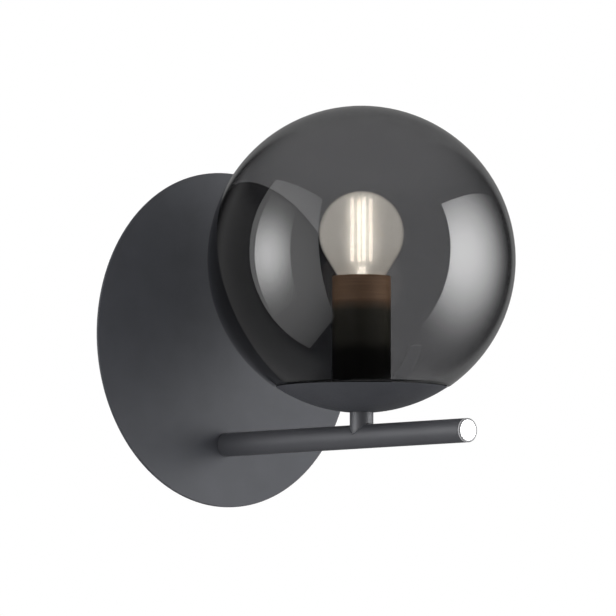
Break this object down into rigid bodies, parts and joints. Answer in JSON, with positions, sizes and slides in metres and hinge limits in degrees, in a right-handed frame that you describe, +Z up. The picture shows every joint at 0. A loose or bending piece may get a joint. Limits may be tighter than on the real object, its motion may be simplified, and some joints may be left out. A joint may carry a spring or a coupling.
{
  "type": "globe wall sconce",
  "caption": "Wall light with a round plate, a straight arm, a shallow cup and a smoked glass globe over a screw-in lamp.",
  "frame": {"origin": "on the wall, straight behind the middle of the round plate, at the back face of the wall bracket", "axes": "+Y into the wall, +Z up, +X to the right seen from the room; the arm points along -Y"},
  "size_m": [0.18, 0.212, 0.2085],
  "materials": {
    "dark_paint": "matt anthracite powder coat",
    "polished_chrome": "polished",
    "zinc_steel": "bright zinc plate",
    "spring_steel": "rolled spring steel",
    "silicone": "translucent grey",
    "smoked_glass": "clear smoked, polished",
    "black_sleeve": "satin black",
    "bronze": "satin bronze",
    "black_plastic": "moulded",
    "white_ceramic": "glazed",
    "plated_shell": "nickel plate",
    "brass": "machined",
    "bulb_glass": "clear, polished",
    "black_glass": "opaque black glass",
    "solder": "soldered",
    "filament": "phosphor coated, lit",
    "bright_wire": "drawn wire",
    "circuit_board": "varnished board",
    "white_nylon": "moulded",
    "brown_lead": "extruded insulation",
    "blue_lead": "extruded insulation",
    "earth_lead": "extruded insulation, green with a yellow stripe"
  },
  "bodies": {
    "bracket": {"wall_bracket": "zinc_steel", "side_screws": "dark_paint"},
    "fixture": {"wall_plate": "dark_paint", "plate_skirt": "dark_paint", "arm_tube": "dark_paint", "end_cap": "polished_chrome", "arm_nipple": "zinc_steel", "arm_washer": "zinc_steel", "arm_nut": "zinc_steel", "stem_tube": "dark_paint", "stem_nipple": "zinc_steel", "cup": "dark_paint", "cup_washer": "zinc_steel", "cup_nut": "zinc_steel", "globe_spring": "spring_steel", "seat_ring": "silicone", "holder_sleeve": "black_sleeve", "holder_collar": "bronze", "holder_base": "black_plastic", "holder_core": "white_ceramic", "holder_body": "black_plastic", "screw_shell": "plated_shell", "centre_contact": "brass", "shell_contact": "brass", "holder_terminals": "brass", "terminal_boss": "zinc_steel", "terminal_block": "white_nylon", "terminal_barrels": "brass", "terminal_screws": "zinc_steel", "terminal_fixing": "zinc_steel", "earth_stud": "zinc_steel", "earth_washer": "zinc_steel", "earth_ring": "brass", "earth_nut": "zinc_steel", "live_lead": "brown_lead", "neutral_lead": "blue_lead", "earth_lead": "earth_lead"},
    "globe": {"globe_glass": "smoked_glass"},
    "bulb_tip": {"bulb_contact": "solder"},
    "bulb": {"bulb_glass": "bulb_glass", "bulb_cap": "plated_shell", "bulb_insulator": "black_glass", "bulb_filaments": "filament", "filament_wires": "bright_wire", "bulb_mount": "bulb_glass", "bulb_driver": "circuit_board"}
  },
  "joints": [
    {"name": "fixture_off", "type": "slide", "parent": "bracket", "child": "fixture", "axis": [0, -1, 0], "range_m": [0, 0.03]},
    {"name": "globe_lift", "type": "slide", "parent": "fixture", "child": "globe", "axis": [0, 0, 1], "range_m": [0, 0.12]},
    {"name": "bulb_rise", "type": "slide", "parent": "fixture", "child": "bulb_tip", "axis": [0, 0, 1], "range_m": [0, 0.0113]},
    {"name": "bulb_turn", "type": "hinge", "parent": "bulb_tip", "child": "bulb", "pos_m": [0, -0.129, 0], "axis": [0, 0, 1], "range_deg": [0, 1440]}
  ],
  "couplings": [
    {"joint": "bulb_rise", "follows": "bulb_turn", "m_per_rad": 0.00044882}
  ]
}
